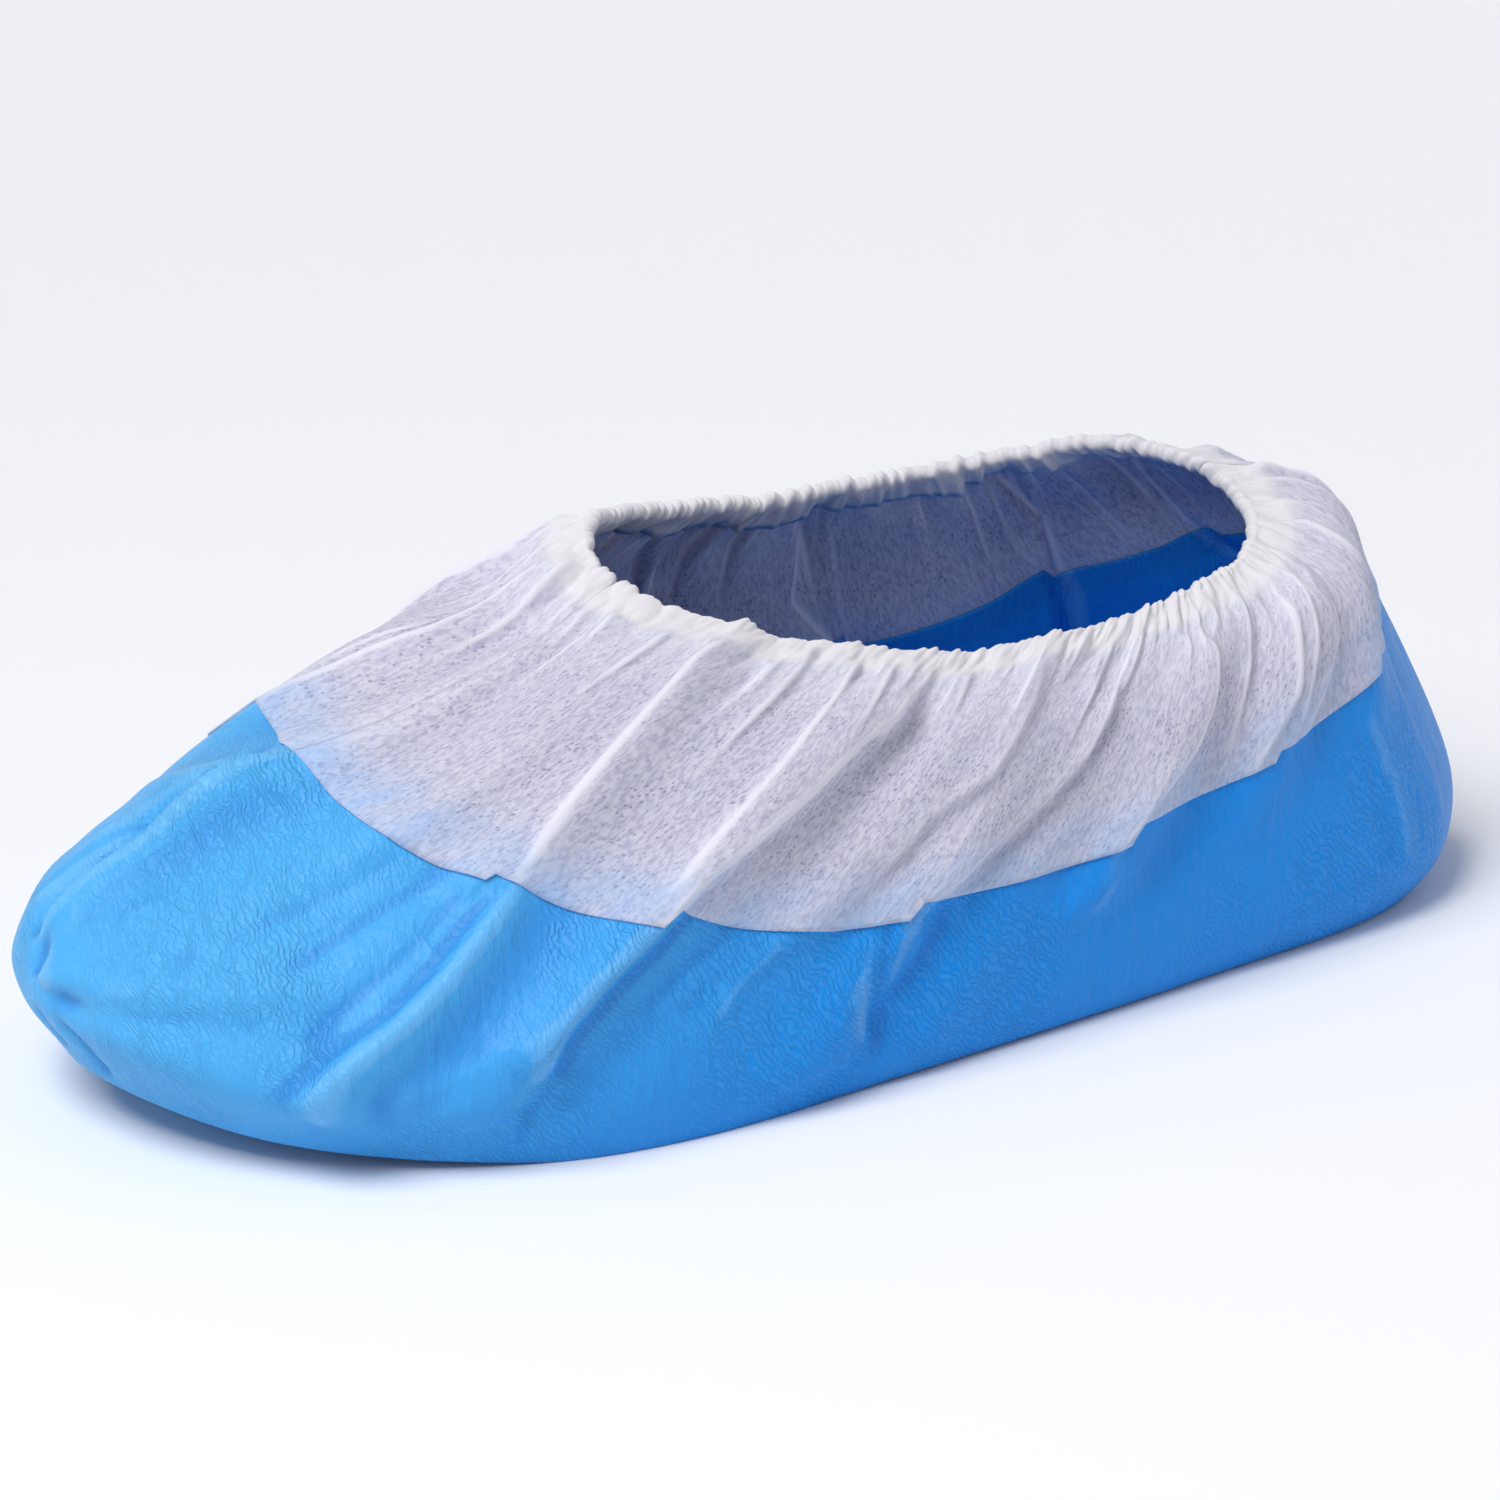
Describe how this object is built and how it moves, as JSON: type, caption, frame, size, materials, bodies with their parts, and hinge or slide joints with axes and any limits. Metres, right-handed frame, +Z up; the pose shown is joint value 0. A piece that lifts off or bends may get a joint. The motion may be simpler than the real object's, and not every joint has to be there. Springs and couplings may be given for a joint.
{
  "type": "anti-slip overshoe cover",
  "caption": "Disposable shoe cover in worn form: blue film sole and skirt, white nonwoven upper, gathered elastic mouth.",
  "frame": {"origin": "on the floor, under the middle of the cover's box", "axes": "+Z up, toe towards -Y, heel towards +Y, +X the wearer's left"},
  "size_m": [0.1376, 0.3255, 0.0988],
  "materials": {
    "blue_film": "soft-gloss embossed polyethylene film",
    "white_nonwoven": "matt spunbond nonwoven, slightly see-through",
    "elastic": "matt natural rubber band",
    "welded_seam": "fused film and nonwoven"
  },
  "bodies": {
    "root": {"lower_film": "blue_film", "left_upper_panel": "white_nonwoven", "right_upper_panel": "white_nonwoven", "elastic_band": "elastic", "toe_seam": "welded_seam", "heel_seam": "welded_seam"}
  },
  "joints": []
}
